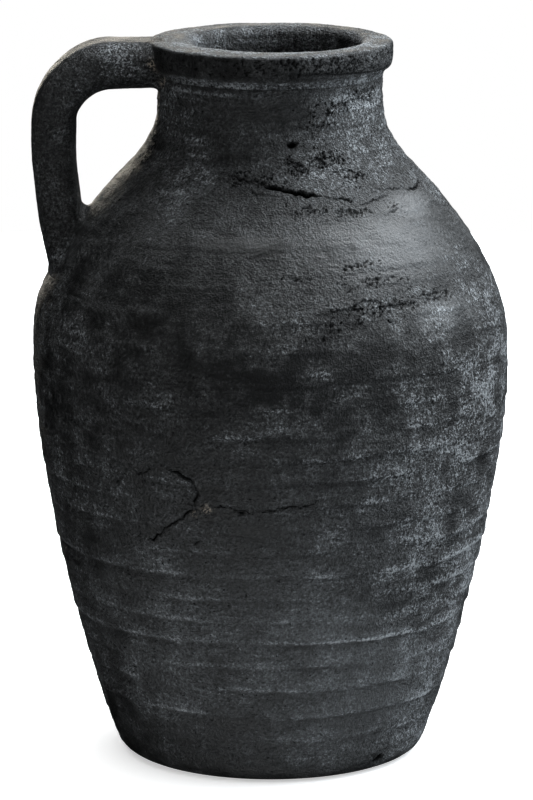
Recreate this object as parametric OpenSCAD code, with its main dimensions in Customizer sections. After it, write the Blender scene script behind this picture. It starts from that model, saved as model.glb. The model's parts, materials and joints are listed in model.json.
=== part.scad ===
// One-handled black clay jar, modelled as the clay pieces that a potter makes one after another
// and joins with slip: a floor disc, four thrown wall bands, a neck collar, a rolled rim,
// a strap handle and the two wads of soft clay pressed round the handle's ends.
// Millimetres, +Z up. The origin is the middle of the foot, on the surface the jar stands on.
// The handle is on the -X side.

/* [Body] */
// Height of the jar, from the surface it stands on to the top of the rim
height = 400; // [380:1:420]
// Diameter of the belly at its widest
belly_d = 263; // [255:1:271]
// Thickness of the wall at the belly
wall_t = 10; // [9:0.5:12]
// Thickness of the floor
floor_t = 12; // [10:1:14]
// Radius of the worn edge round the foot
foot_round = 12; // [8:1:12]
// Radius of the hollow corner between the floor and the wall
cove_r = 14; // [8:1:20]

/* [Neck and rim] */
// Diameter of the rolled rim
rim_d = 134.4; // [132:0.2:138]
// Height of the rolled rim
rim_h = 19; // [17:1:20]
// Diameter of the mouth
mouth_d = 91; // [88:1:93]
// How far the mouth lies off the jar's middle, away from the handle
mouth_shift = 3.5; // [0:0.5:4]

/* [Handle] */
// Width of the strap, along the rim
strap_w = 36; // [30:1:40]
// Thickness of the strap
strap_t = 23.5; // [20:0.5:25]
// Radius of the strap's long edges
strap_round = 8; // [6:1:9]
// Radius of the bend at the top, along the strap's middle
bend_r = 32; // [30:1:34]
// Radius of the slow inward curve of the upright part, along the strap's middle
leg_r = 350; // [320:10:380]
// Drop of the strap's top face below the rim's top
strap_drop = 2; // [1:0.5:4]

/* [Joints] */
// Depth of the groove in which each piece of the wall sits
groove_d = 4; // [2:0.5:5]
// Radius of the roll of clay pressed under the handle's upper end
upper_wad_r = 6; // [4:0.5:7]
// How far the clay round the handle's lower end spreads beyond the strap
lower_wad_spread = 7; // [5:0.5:8]
// How far the clay round the handle's lower end stands out from the wall
lower_wad_t = 4; // [3:0.5:6]

/* [Hidden] */
$fn = 96;

belly_r = belly_d / 2;
rim_r = rim_d / 2;
mouth_r = mouth_d / 2;
rim_z = height - rim_h;
facet_h = 8;        // height of one facet of the turned outline
overlap = 5;        // how far a cutting solid runs past the face that it cuts

// Heights of the joints between the floor, the wall bands, the collar and the rim
joint_z = [
    floor_t, 0.21 * height, 0.4125 * height, 0.6775 * height, 0.815 * height, rim_z
];
shoulder_z = joint_z[3];
collar_z = joint_z[4];

// The outside of the wall: [share of the height, share of the belly's radius]
outline = [
    [0.030, 0.668], [0.100, 0.740], [0.210, 0.834], [0.325, 0.914], [0.430, 0.970],
    [0.500, 0.993], [0.560, 1.000], [0.620, 0.986], [0.6775, 0.926], [0.750, 0.797],
    [0.800, 0.675], [0.850, 0.537], [0.885, 0.483], [0.920, 0.471], [0.960, 0.470]
];

// The wall's thickness, measured level: [share of the height, share of wall_t]
thickness = [
    [0.030, 1.40], [0.100, 1.20], [0.210, 1.10], [0.430, 1.00], [0.560, 1.00], [0.6775, 1.15],
    [0.750, 1.40], [0.815, 1.50], [0.885, 1.46], [0.960, 1.63]
];

// The slope of a table at its row i, from the rows beside it
function slope(t, i) =
    let (a = max(i - 1, 0), b = min(i + 1, len(t) - 1))
    (t[b][1] - t[a][1]) / (t[b][0] - t[a][0]);

// The last row of a table that starts at or below x
function row_below(t, x) = max([for (i = [0 : len(t) - 2]) if (i == 0 || t[i][0] <= x) i]);

// A smooth curve through a table's rows, by cubic pieces
function smooth(t, x) =
    let (
        i = row_below(t, x),
        w = t[i + 1][0] - t[i][0],
        s = (x - t[i][0]) / w,
        rise = t[i + 1][1] - t[i][1],
        leave = slope(t, i) * w * (1 - s) * (1 - s),
        arrive = slope(t, i + 1) * w * s * (1 - s)
    )
    t[i][1] + s * (leave - arrive + rise * s * (3 - 2 * s));

function outer_r(z) = belly_r * smooth(outline, z / height);
function inner_r(z) = outer_r(z) - wall_t * smooth(thickness, z / height);
function middle_r(z) = (outer_r(z) + inner_r(z)) / 2;

// Heights from low to high in even steps
function levels(low, high) =
    let (n = ceil((high - low) / facet_h))
    [for (i = [0 : n]) low + (high - low) * i / n];

function outside(low, high) = [for (z = levels(low, high)) [outer_r(z), z]];
function inside(low, high) = [for (z = levels(low, high)) [inner_r(z), z]];
function reversed(list) = [for (i = [len(list) - 1 : -1 : 0]) list[i]];
function without_first(list) = [for (i = [1 : len(list) - 1]) list[i]];
function without_last(list) = [for (i = [0 : len(list) - 2]) list[i]];

function arc(centre, r, from, to, n = 6) =
    [for (i = [0 : n]) let (a = from + (to - from) * i / n) centre + r * [cos(a), sin(a)]];

// The tip of the groove in a joint, and of the ridge that sits in it
function groove_tip(z) = [middle_r(z), z - groove_d];

// The foot's worn edge: it leaves the ground level and runs into the leaning wall
foot_lean = 19;
foot_edge_r = outer_r(floor_t) - tan(foot_lean) * (floor_t - foot_round * (1 - sin(foot_lean)));
foot_edge = arc([foot_edge_r - foot_round * cos(foot_lean), foot_round], foot_round, -90, -foot_lean);

// The rim's outside: a fat roll, pressed flat on top
rim_under_r = 5;     // radius of the roll's lower edge
rim_top_r = 2.5;     // radius of the roll's outer top edge
rim_lip_r = 4;       // radius of the mouth's top edge
rim_outside = concat(
    arc([rim_r - rim_under_r, rim_z + rim_under_r + 0.5], rim_under_r, -75, 0),
    arc([rim_r - rim_top_r, height - rim_top_r], rim_top_r, 0, 90)
);

cove_lean = 15;      // how far the wall leans out where the cove in the corner leaves it

// One band of the wall, with a groove in its top edge and a ridge under its lower edge.
// A cove rounds the corner that it makes with the floor.
module wall_band(low, high, cove = 0) {
    cove_centre = [inner_r(low + cove) - cove, low + cove];
    rotate_extrude()
        polygon(concat(
            outside(low, high),
            [groove_tip(high)],
            reversed(inside(low + cove, high)),
            cove > 0 ? concat(arc(cove_centre, cove, -cove_lean, -90), [[inner_r(low), low]]) : [],
            [groove_tip(low)]
        ));
}

// The hole through the collar and the rim
module mouth_bore() {
    translate([mouth_shift, 0, 0])
        rotate_extrude()
            polygon(concat(
                [[0, collar_z - overlap], [inner_r(collar_z), collar_z - overlap]],
                without_last(inside(collar_z, rim_z)),
                [[mouth_r, rim_z]],
                arc([mouth_r + rim_lip_r, height - rim_lip_r], rim_lip_r, 180, 90),
                [[mouth_r + rim_lip_r, height + overlap], [0, height + overlap]]
            ));
}

// The jar above its widest part as one full solid, which cuts the pieces that join its outside
module jar_core() {
    rotate_extrude()
        polygon(concat(
            [[0, joint_z[2]]],
            outside(joint_z[2], shoulder_z),
            without_first(outside(shoulder_z, collar_z)),
            without_first(outside(collar_z, rim_z)),
            rim_outside,
            [[0, height]]
        ));
}

// The strap's section, with x across its thickness and y across its width
module strap_section(grow = 0) {
    x = strap_t / 2 - strap_round;
    y = strap_w / 2 - strap_round;
    r = strap_round + grow;
    polygon(concat(
        arc([x, y], r, 0, 90, 4),
        arc([-x, y], r, 90, 180, 4),
        arc([-x, -y], r, 180, 270, 4),
        arc([x, -y], r, 270, 360, 4)
    ));
}

strap_z = height - strap_drop - strap_t / 2;    // middle of the level part
bend_x = belly_r - strap_t / 2 - bend_r;        // centre of the bend
bend_z = strap_z - bend_r;
leg_x = bend_x + bend_r - leg_r;                // centre of the leg's curve
leg_turn = 16;                                  // how far the upright part turns inwards
root_turn = 11;                                 // its turn where it meets the shoulder

// The strap on the +X side, from inside the rim, out and round the bend, and down into the shoulder
module strap_sweep() {
    start = outer_r(rim_z) - 2 * overlap;
    translate([start, 0, strap_z])
        rotate([0, 90, 0])
            linear_extrude(height = bend_x - start) strap_section();
    translate([bend_x, 0, bend_z])
        rotate([90, 0, 0])
            rotate_extrude(angle = 90)
                translate([bend_r, 0]) strap_section();
    translate([leg_x, 0, bend_z])
        rotate([90, 0, 0])
            rotate([0, 0, -leg_turn])
                rotate_extrude(angle = leg_turn)
                    translate([leg_r, 0]) strap_section();
}

// A straight prism round the strap's root, in the direction that the leg has there
module root_prism() {
    translate([leg_x + leg_r * cos(root_turn), 0, bend_z - leg_r * sin(root_turn)])
        rotate([0, root_turn, 0])
            linear_extrude(height = collar_z - shoulder_z, center = true)
                strap_section(lower_wad_spread);
}

// A shell over the shoulder, as thick as the clay round the handle's root
module root_shell() {
    z = [shoulder_z - 4 * overlap, (shoulder_z + collar_z) / 2, collar_z];
    rotate_extrude()
        polygon(concat(
            [[0, z[0]]],
            [for (h = z) [outer_r(h) + lower_wad_t, h]],
            [[0, z[2]]]
        ));
}

module floor_disc() {
    color("#1f2122")
        rotate_extrude()
            polygon(concat(
                [[0, 0]],
                foot_edge,
                [[outer_r(floor_t), floor_t], groove_tip(floor_t)],
                [[inner_r(floor_t), floor_t], [0, floor_t]]
            ));
}

module foot_band() {
    color("#26282a") wall_band(joint_z[0], joint_z[1], cove_r);
}

module lower_belly_band() {
    color("#26282a") wall_band(joint_z[1], joint_z[2]);
}

module upper_belly_band() {
    color("#2a2c2e") wall_band(joint_z[2], shoulder_z);
}

module shoulder_band() {
    color("#303335") wall_band(shoulder_z, collar_z);
}

module neck_collar() {
    color("#26282a")
        difference() {
            rotate_extrude()
                polygon(concat(
                    outside(collar_z, rim_z),
                    [groove_tip(rim_z), [inner_r(rim_z), rim_z], [0, rim_z], [0, collar_z]],
                    [[inner_r(collar_z), collar_z], groove_tip(collar_z)]
                ));
            mouth_bore();
        }
}

module rim_coil() {
    color("#2b2d2e")
        difference() {
            rotate_extrude()
                polygon(concat(
                    [groove_tip(rim_z), [outer_r(rim_z), rim_z]],
                    rim_outside,
                    [[0, height], [0, rim_z], [inner_r(rim_z), rim_z]]
                ));
            mouth_bore();
        }
}

module handle_strap() {
    color("#232527")
        mirror([1, 0, 0])
            difference() {
                strap_sweep();
                jar_core();
            }
}

// A short roll of clay along the corner between the neck and the underside of the strap
module upper_handle_wad() {
    under_z = strap_z - strap_t / 2;
    reach = asin((strap_w / 2 + upper_wad_r) / outer_r(under_z));
    color("#6f6152")
        mirror([1, 0, 0])
            difference() {
                rotate([0, 0, -reach])
                    rotate_extrude(angle = 2 * reach)
                        translate([outer_r(under_z) + upper_wad_r / 4, under_z - upper_wad_r / 4])
                            circle(r = upper_wad_r);
                strap_sweep();
                jar_core();
            }
}

// Clay pressed all round the strap's lower end, where it meets the shoulder
module lower_handle_wad() {
    color("#232527")
        mirror([1, 0, 0])
            difference() {
                intersection() {
                    root_prism();
                    root_shell();
                }
                strap_sweep();
                jar_core();
            }
}

floor_disc();
foot_band();
lower_belly_band();
upper_belly_band();
shoulder_band();
neck_collar();
rim_coil();
handle_strap();
upper_handle_wad();
lower_handle_wad();
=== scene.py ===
"""Looks of a one-handled black clay jar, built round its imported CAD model.

Every piece of clay in the CAD model is replaced by a detailed mesh of the same piece: the wall
with its throwing rings, pits and cracks, the uneven rolled rim, the pulled strap handle and the
clay smeared round its ends. Shapes are worked out in millimetres and made in metres. An angle
round the jar is counted from the front (-Y) towards +X, so the handle is at -90 degrees.
"""

import json
import math

import bpy
import numpy as np
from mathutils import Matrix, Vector
from mathutils.bvhtree import BVHTree


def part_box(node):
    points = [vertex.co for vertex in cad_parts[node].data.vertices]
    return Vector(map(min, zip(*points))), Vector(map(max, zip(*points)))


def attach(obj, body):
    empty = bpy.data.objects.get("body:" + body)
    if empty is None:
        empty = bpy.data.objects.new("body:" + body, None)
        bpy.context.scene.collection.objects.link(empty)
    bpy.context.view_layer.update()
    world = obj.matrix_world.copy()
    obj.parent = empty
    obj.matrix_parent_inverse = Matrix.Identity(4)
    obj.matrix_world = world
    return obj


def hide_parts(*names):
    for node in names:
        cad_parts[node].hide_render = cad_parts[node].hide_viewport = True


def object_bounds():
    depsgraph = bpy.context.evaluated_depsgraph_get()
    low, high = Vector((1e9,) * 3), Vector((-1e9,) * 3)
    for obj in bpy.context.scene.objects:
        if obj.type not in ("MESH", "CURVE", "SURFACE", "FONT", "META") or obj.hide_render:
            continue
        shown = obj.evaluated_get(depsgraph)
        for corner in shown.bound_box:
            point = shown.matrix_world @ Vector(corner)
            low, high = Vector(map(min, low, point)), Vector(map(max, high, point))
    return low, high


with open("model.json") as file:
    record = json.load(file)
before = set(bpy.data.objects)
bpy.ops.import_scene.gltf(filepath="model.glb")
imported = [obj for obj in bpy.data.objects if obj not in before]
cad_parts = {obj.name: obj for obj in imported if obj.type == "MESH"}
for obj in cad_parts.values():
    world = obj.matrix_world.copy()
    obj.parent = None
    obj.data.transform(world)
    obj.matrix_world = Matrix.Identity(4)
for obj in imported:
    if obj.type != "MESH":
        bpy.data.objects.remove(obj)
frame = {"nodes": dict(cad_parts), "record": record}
cad_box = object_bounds()

MM = 0.001

# ------------------------------------------------------------------ sizes from the CAD model

# The wall's nodes, from the foot up
WALL_NODES = ["foot_band", "lower_belly_band", "upper_belly_band", "shoulder_band", "neck_collar"]


def node_points(name):
    """A CAD node's vertices, in millimetres."""
    mesh = frame["nodes"][name].data
    flat = np.empty(len(mesh.vertices) * 3, np.float32)
    mesh.vertices.foreach_get("co", flat)
    return flat.reshape(-1, 3).astype(float) / MM


def node_top(name):
    """The height of a CAD node's top, in millimetres."""
    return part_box(name)[1].z / MM


HEIGHT = cad_box[1].z / MM
FLOOR_Z = node_top("floor_disc")
JOINTS = [FLOOR_Z] + [node_top(name) for name in WALL_NODES]
COLLAR_Z, RIM_Z = JOINTS[-2:]
# How deep the V of a joint between two bands is
GROOVE_D = 4.0

# How far the mouth's middle is from the jar's
mouth = next(m for m in frame["record"]["mounts"] if m["name"] == "mouth")
MOUTH_X = mouth["pos_m"][0] / MM

strap_low, strap_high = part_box("handle_strap")
STRAP_W = (strap_high.y - strap_low.y) / MM
STRAP_TOP = strap_high.z / MM
STRAP_REACH = -strap_low.x / MM
# The strap's thickness, the rounding of its edges, and the radii of its bend and of its leg
STRAP_T = 23.5
STRAP_ROUND = 8.0
BEND_R = 32.0
LEG_R = 350.0


def foot_rows():
    """(height, radius) up the floor disc's rounded edge."""
    points = node_points("floor_disc")
    radius = np.hypot(points[:, 0], points[:, 1])
    rows = []
    for z in np.unique(points[:, 2].round(2)):
        r = radius[abs(points[:, 2] - z) < 0.02].max()
        if not rows or r > rows[-1][1]:
            rows.append((z, r))
    return rows


def wall_rows(step=4.0):
    """(height, outer radius, inner radius) up the wall, measured on the CAD bands at the back."""
    points, faces = [], []
    for name in WALL_NODES:
        mesh = frame["nodes"][name].data
        start = len(points)
        points += [v.co.copy() for v in mesh.vertices]
        faces += [[start + k for k in face.vertices] for face in mesh.polygons]
    tree = BVHTree.FromPolygons(points, faces)
    rows = []
    for z in np.linspace(FLOOR_Z, RIM_Z, int((RIM_Z - FLOOR_Z) / step) + 1)[1:-1]:
        outside = tree.ray_cast(Vector((0, 1, z * MM)), Vector((0, -1, 0)))[0]
        inside = tree.ray_cast(Vector((0, 0, z * MM)), Vector((0, 1, 0)))[0]
        rows.append((z, outside.y / MM, inside.y / MM))
    return rows


def smooth_curve(x, y):
    """A smooth function through points, by cubic pieces."""
    x, y = np.asarray(x, float), np.asarray(y, float)
    slope = np.gradient(y, x)

    def curve(at):
        i = np.clip(np.searchsorted(x, at) - 1, 0, len(x) - 2)
        w = x[i + 1] - x[i]
        s = np.clip((at - x[i]) / w, 0, 1)
        rise = y[i + 1] - y[i]
        return y[i] + s * (
            slope[i] * w * (1 - s) ** 2 - slope[i + 1] * w * s * (1 - s) + rise * s * (3 - 2 * s)
        )

    return curve


foot, wall = foot_rows(), wall_rows()
outer_r = smooth_curve([p[0] for p in foot + wall], [p[1] for p in foot + wall])
thick_rows = [(z, a - b) for z, a, b in wall if z > FLOOR_Z + 20]


def thickness(z):
    """The wall's thickness at a height."""
    return np.interp(z, [p[0] for p in thick_rows], [p[1] for p in thick_rows])


# ------------------------------------------------------------------ noise


def noise(x, y, z, seed):
    """Smooth noise, about -1 to 1, at points in space."""
    rng = np.random.default_rng(seed)
    perm = rng.permutation(256).astype(np.int32)
    grad = rng.normal(size=(256, 3)).astype(np.float32)
    grad /= np.linalg.norm(grad, axis=1)[:, None]
    x, y, z = (np.asarray(v, np.float32) for v in np.broadcast_arrays(x, y, z))
    xi, yi, zi = (np.floor(v).astype(np.int32) for v in (x, y, z))
    fx, fy, fz = x - xi, y - yi, z - zi
    wx, wy, wz = (f * f * f * (f * (f * 6 - 15) + 10) for f in (fx, fy, fz))
    whole = np.zeros_like(x)
    for dx in (0, 1):
        px = perm[(xi + dx) & 255]
        for dy in (0, 1):
            py = perm[(px + yi + dy) & 255]
            for dz in (0, 1):
                g = grad[perm[(py + zi + dz) & 255]]
                weight = (wx if dx else 1 - wx) * (wy if dy else 1 - wy) * (wz if dz else 1 - wz)
                whole += weight * (
                    g[..., 0] * (fx - dx) + g[..., 1] * (fy - dy) + g[..., 2] * (fz - dz)
                )
    return whole * 1.7


def fractal(x, y, z, seed):
    """Three sizes of noise in one, about -1 to 1."""
    whole = 0
    for k in range(3):
        whole = whole + noise(x * 2**k, y * 2**k, z * 2**k, seed + k) / 2**k
    return whole / 1.6


def smoothstep(x):
    """A smooth step from 0 at 0 to 1 at 1."""
    x = np.clip(x, 0, 1)
    return x * x * (3 - 2 * x)


def bump(x, width):
    """A smooth hump, 1 at 0 and faded out at about twice its width."""
    return np.exp(-((x / width) ** 2))


def signed(turn):
    """A turn brought to between half a turn back and half a turn on."""
    return (turn + math.pi) % (2 * math.pi) - math.pi


# ------------------------------------------------------------------ what marks the wall

# Throwing rings, each a soft rise that ends in a worn crest with a groove under it: (height of the
# crest, rise, how far up the rise reaches)
RINGS = [
    (25, 0.6, 7), (40, 0.8, 7), (56, 0.9, 7), (70, 0.8, 6), (84.5, 1.2, 6), (97.5, 1.0, 6),
    (110.5, 0.9, 6), (124, 1.15, 6.5), (138, 0.8, 6.5), (151, 0.7, 6), (165, 0.65, 6),
    (178, 0.65, 6), (191, 0.7, 6), (204, 0.7, 6), (218, 0.55, 6), (232, 0.45, 6), (249, 0.35, 6),
    (264, 0.3, 5), (281, 0.25, 4), (289, 0.3, 4), (301, 0.25, 5), (314, 0.25, 5), (335, 0.25, 5),
    (345, 0.3, 4), (353, 0.35, 3.5), (360, 0.35, 3.5), (366.5, 0.4, 3), (373, 0.4, 3),
]

# Cracks: points (angle, height), half width, depth, and how far the clay above stands proud
CRACKS = [
    ([(-19, 337.0), (-12, 334.6), (-6, 332.4), (-2, 331.2)], 0.35, 0.7, 0.3),
    ([(-4, 331.6), (2, 330.4), (8, 328.6), (14, 327.2), (20, 325.8)], 0.62, 3.0, 0.9),
    ([(19, 326.0), (26, 324.2), (33, 322.8)], 0.4, 1.1, 0.4),
    ([(-10, 330), (-4, 327.5), (4, 326.3)], 0.35, 0.6, 0.2),
    ([(41, 327.0), (49, 325.6), (58, 324.6)], 0.35, 0.9, 0.3),
    ([(56, 326.8), (59, 324.0), (64, 322.6), (71, 323.9), (76, 325.5)], 0.55, 1.4, 0.5),
    ([(31, 319.5), (37, 321.0), (43, 322.4), (50, 323.1)], 0.35, 0.7, 0.3),
    ([(7.0, 351.7), (10, 351.2), (13.5, 351.9)], 1.25, 3.2, 0.2),
    ([(34, 316.6), (38, 315.9)], 0.5, 0.9, 0.0),
    ([(43, 315.2), (49, 315.6)], 0.45, 0.9, 0.2),
    ([(16, 287.3), (31, 288.2), (50, 289.2)], 0.35, 0.3, 0.1),
    ([(10, 283.6), (24, 284.2), (38, 285.6)], 0.35, 0.3, 0.1),
    ([(17, 281.0), (30, 281.4), (47, 280.2)], 0.35, 0.3, 0.1),
    ([(-8, 286.2), (4, 287.4), (16, 286.4)], 0.35, 0.3, 0.1),
    ([(10, 269.2), (15, 270.2), (20, 271.3), (24, 275.0), (29, 273.4), (33, 276.2), (42, 278.2)],
     0.35, 0.6, 0.5),
    ([(29, 264.6), (32.5, 261.8)], 0.6, 1.4, 0.0),
    ([(-27, 186.5), (-23, 183), (-19.5, 179.5), (-18.6, 176), (-17.8, 171), (-19, 167), (-18, 164)],
     0.65, 2.4, 0.2),
    ([(-18, 164), (-20.5, 160.5), (-24, 155), (-28, 148.5), (-31, 143), (-33.5, 141)], 0.5, 1.8, 0.1),
    ([(-16, 165.3), (-11, 165.6), (-8, 163.4), (-4.5, 162.6), (-1.5, 163.4), (2.0, 165.0), (7, 165.5),
      (13, 168.4)], 0.45, 1.5, 0.35),
    ([(-8.5, 162.9), (-5.5, 162.1)], 0.65, 1.8, 0.2),
    ([(-35, 178.5), (-31, 181.5), (-29, 184.5)], 0.45, 1.3, 0.0),
    ([(-41.5, 172.3), (-39.5, 174)], 0.8, 2.2, 0.0),
    ([(-57, 201.5), (-52.5, 198.5)], 0.5, 1.4, 0.0),
    ([(-11, 187.5), (-8, 190), (-5, 193)], 0.35, 0.8, 0.1),
    ([(-20, 141), (-19, 144), (-17.5, 145.5)], 0.65, 1.8, 0.0),
    ([(-60, 284.5), (-66, 286.2), (-71, 284.8), (-76, 282)], 0.5, 0.3, 0.5),
    ([(118, 330), (131, 327), (144, 328.5)], 0.5, 1.4, 0.4),
    ([(-158, 324), (-149, 326.5), (-141, 325)], 0.5, 1.2, 0.4),
    ([(152, 170), (157, 161), (163, 157), (166, 149)], 0.5, 1.2, 0.2),
    ([(96, 88), (108, 85.5), (119, 86.5)], 0.5, 1.0, 0.5),
    ([(40, 5.0), (43, 7.0), (46.5, 8.5)], 1.5, 3.0, 0.0),
    ([(-136, 216), (-128, 211), (-121, 212)], 0.45, 0.9, 0.2),
]

# Where the skin is torn into small ragged pits: (angle, height, half width, half height in degrees
# and millimetres, strength)
TORN = [
    (25, 342, 17, 6.5, 1.05), (36, 334, 10, 6.0, 1.0), (12, 340, 12, 6.0, 0.95),
    (14, 319, 10, 5.0, 1.2), (27, 317.5, 9, 3.0, 1.2), (-12, 334, 9, 5.0, 0.95),
    (47, 318, 8, 3.0, 0.9), (2, 333, 10, 5, 0.9), (27, 291, 8, 3.0, 1.1), (30, 284, 15, 5.0, 0.9),
    (8, 288, 12, 3.0, 0.8), (31, 270, 19, 5.0, 1.05), (46, 272, 10, 4.5, 1.15),
    (12, 262, 22, 7.0, 0.6), (44, 252, 16, 12.0, 0.7), (24, 361, 13, 3.0, 0.9),
    (30, 368, 16, 6.0, 0.75), (32, 372, 14, 3.0, 0.8), (52, 373, 24, 6.5, 1.25),
    (-18, 164, 3.5, 2.6, 1.1), (43, 237, 2.5, 1.3, 1.2), (41, 217, 2.5, 1.3, 1.2),
    (42, 9, 5, 2.5, 1.4), (131, 318, 20, 8.0, 1.0), (-150, 335, 15, 6.0, 0.9),
    (168, 250, 26, 14.0, 0.8), (110, 130, 24, 14.0, 0.7), (-125, 110, 24, 14.0, 0.7),
    (-74, 350, 12, 22.0, 0.75),
]

# Where the skin is burnished smooth: (angle, height, half width, half height)
BURNISHED = [
    (36, 299, 29, 20), (55, 316, 18, 9), (48, 262, 16, 12), (-10, 303, 22, 6), (170, 300, 50, 14),
]

# Where pale ash clings, or below zero where bare soot shows; some spots are painted light and shade
# instead: painted shade in the dark bands under the ring crests on the right, in a band under the
# rim, on the belly's front, on the left side and on the neck's front and left, and a painted
# highlight in a thin line along the neck's top edge on the left: (angle, height, half width, half
# height, strength)
DUST_AND_PAINTED_LIGHT_SPOTS = [
    (64, 215, 24, 44, 2.8), (50, 140, 24, 40, 1.3), (62, 60, 20, 30, 1.0), (20, 50, 40, 40, 0.8),
    (-28, 75, 20, 45, 1.2), (-12, 128, 26, 16, 1.5), (-36, 322, 24, 14, 1.6), (7, 357, 8, 5, 1.2),
    (24, 343, 18, 12, 1.8), (36, 372, 14, 9, 1.2), (52, 370, 22, 7, 2.6),
    (-34, 377.5, 26, 1.3, 6.0), (28, 268, 16, 10, 1.2), (-58, 90, 16, 60, 0.5),
    (-30, 165, 14, 22, 0.5), (-8, 262, 32, 34, -2.2), (-14, 366, 34, 14, -2.4),
    (36, 30, 9, 14, -1.5), (-66, 240, 24, 60, -0.8), (2, 306, 20, 10, 0.8), (0, 4, 90, 7, -2.0),
    (-72, 140, 14, 50, -0.8), (20, 200, 34, 26, -0.5), (0, 383, 200, 4, -1.6),
    (52, 150, 40, 3, 1.2), (44, 97.5, 26, 3, 1.6), (46, 124, 30, 3.5, 1.8), (52, 110, 26, 3, 1.2),
    (20, 122, 16, 4, 1.2), (50, 85, 24, 3, 1.4), (48, 117, 24, 3, -1.6), (48, 104, 24, 3, -1.4),
    (48, 91.5, 24, 3, -1.2), (48, 131, 26, 3, -1.0), (40, 250, 16, 10, -1.0),
    (-30, 20, 26, 14, -0.8), (0, 85, 400, 62, 1.1), (-24, 60, 40, 44, 0.5), (10, 20, 60, 12, 0.8),
    (4, 235, 30, 22, -1.7), (10, 96, 20, 14, 0.6), (-50, 296, 30, 16, 1.0), (140, 150, 40, 60, 0.9),
    (180, 290, 40, 20, 0.7), (-140, 210, 30, 50, 0.8), (-110, 80, 40, 40, 0.8),
    (170, 60, 60, 40, 0.9), (110, 250, 30, 40, 0.6),
]

# Where the crests are rubbed most, and a painted highlight along the neck's top edge on the left:
# (angle, height, half width, half height, strength)
RUBBED_AND_HIGHLIT = [
    (44, 125, 24, 4, 1.3), (34, 111, 20, 4, 0.9), (56, 112, 18, 5, 1.0), (34, 84.5, 22, 4, 1.3),
    (-48, 86, 14, 4, 0.9), (46, 371, 22, 6, 2.4), (-34, 376, 24, 4, 1.6),
]

# Where the skin is calm, or below zero where it is harsh: (angle, height, half width, half height,
# strength)
CALM = [
    (-24, 80, 46, 62, 1.0), (8, 62, 34, 52, 1.0), (34, 50, 20, 26, 0.6), (-20, 170, 40, 46, 0.5),
    (-30, 300, 30, 30, 0.6), (-10, 370, 40, 14, 0.5), (40, 300, 30, 25, 0.4), (8, 302, 26, 20, 0.6),
    (62, 212, 32, 46, -1.2), (16, 240, 22, 26, -1.0), (48, 112, 22, 26, -0.5),
]

# Chips that show the paler clay beneath: (angle, height, radius)
CHIPS = [(-15.8, 163.6, 2.6), (-19.0, 160.0, 1.6)]

# How far the wall bulges under the handle's lower end
UNDER_HANDLE = 1.7


def spread(table, a, z, join=np.maximum):
    """The strength at each point of soft spots given as (angle, height, half sizes, strength)."""
    whole = np.zeros(a.shape)
    for angle, height, wide, tall, *strength in table:
        across = np.degrees(signed(a - math.radians(angle))) / wide
        reach = across**2 + ((z - height) / tall) ** 2
        whole = join(whole, (strength or [1.0])[0] * np.exp(-reach))
    return whole


def torn_skin(x, y, z, a):
    """How deep the ragged pits are, and the painted shade that darkens them."""
    ragged = 0.8 * noise(x / 2.4, y / 2.4, z / 1.4, 21)
    ragged += 0.6 * noise(x / 1.2, y / 1.2, z / 0.85, 22)
    ragged += 0.4 * noise(x / 7, y / 7, z / 4, 23)
    limit = 1.02 - 0.95 * spread(TORN, a, z) - 0.12 * noise(x / 30, y / 30, z / 25, 24)
    cut = smoothstep((ragged - limit) / 0.26)
    lip = bump(ragged - limit + 0.12, 0.14)
    return 0.9 * cut - 0.2 * lip, 0.5 * cut


# How far round a crack the wall is worked on
CRACK_MARGIN = 8


def crack_path(points, half_width, seed):
    """A crack's points every half millimetre or so, made ragged: the turn round the jar, the height
    and how far the crack gapes there."""
    turn = np.radians([p[0] for p in points])
    z = np.array([p[1] for p in points], float)
    r = outer_r(z)
    length = np.concatenate([[0], np.cumsum(np.hypot(np.diff(turn) * r[:-1], np.diff(z)))])
    at = np.arange(0, length[-1], 0.4)
    turn, z = np.interp(at, length, turn), np.interp(at, length, z)
    ragged = 1.2 * noise(at / 4.5, 0, 0, seed) + 0.8 * noise(at / 2.1, 0, 5.5, seed + 1)
    ragged *= min(1.0, 0.5 / half_width) ** 2
    gape = 0.75 + 0.5 * noise(at / 11.0, 3.3, 0, seed + 2)
    taper = smoothstep(np.minimum(at, length[-1] - at) / (3 + 0.12 * length[-1]) + 0.1)
    return turn, z + ragged, np.clip(gape, 0.08, 1.3) * taper


def stamp_cracks(angles, heights, relief, hollow):
    """Cuts the cracks into the grids of relief and of the painted shade in them."""
    for k, (points, half_width, depth, proud) in enumerate(CRACKS):
        turn, z, gape = crack_path(points, half_width, 700 + 7 * k)
        r = float(outer_r(z.mean()))
        middle, reach = turn.mean(), np.ptp(turn) * r / 2 + CRACK_MARGIN
        across = signed(angles - middle)
        cols = np.nonzero(abs(across) * r < reach)[0]
        beside = (heights > z.min() - CRACK_MARGIN) & (heights < z.max() + CRACK_MARGIN)
        rows = np.nonzero(beside)[0]
        if not len(rows) or not len(cols):
            continue
        gx = across[cols][None, :] * r + 0 * heights[rows][:, None]
        gz = heights[rows][:, None] + 0 * gx
        best = np.full(gx.shape, 1e9)
        side, wide = np.zeros(gx.shape), np.ones(gx.shape)
        for place, height, opening in zip((turn - middle) * r, z, gape):
            far = np.hypot(gx - place, gz - height)
            near = far < best
            best[near], side[near], wide[near] = far[near], (gz - height)[near], opening
        cut = bump(best, half_width * (0.45 + 0.75 * wide)) * np.minimum(wide * 1.3, 1)
        above = smoothstep(side + 0.5) * bump(best, 4.0) * wide
        below = smoothstep(0.5 - side) * bump(best, 2.5) * wide
        relief[np.ix_(rows, cols)] += proud * (above - 0.5 * below) - depth * cut
        # Painted shade in the crack, darker for a deeper crack
        shade = np.clip(cut * min(1.4, 0.15 + 0.9 * depth), 0, 1)
        hollow[np.ix_(rows, cols)] = np.maximum(hollow[np.ix_(rows, cols)], shade)


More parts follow.
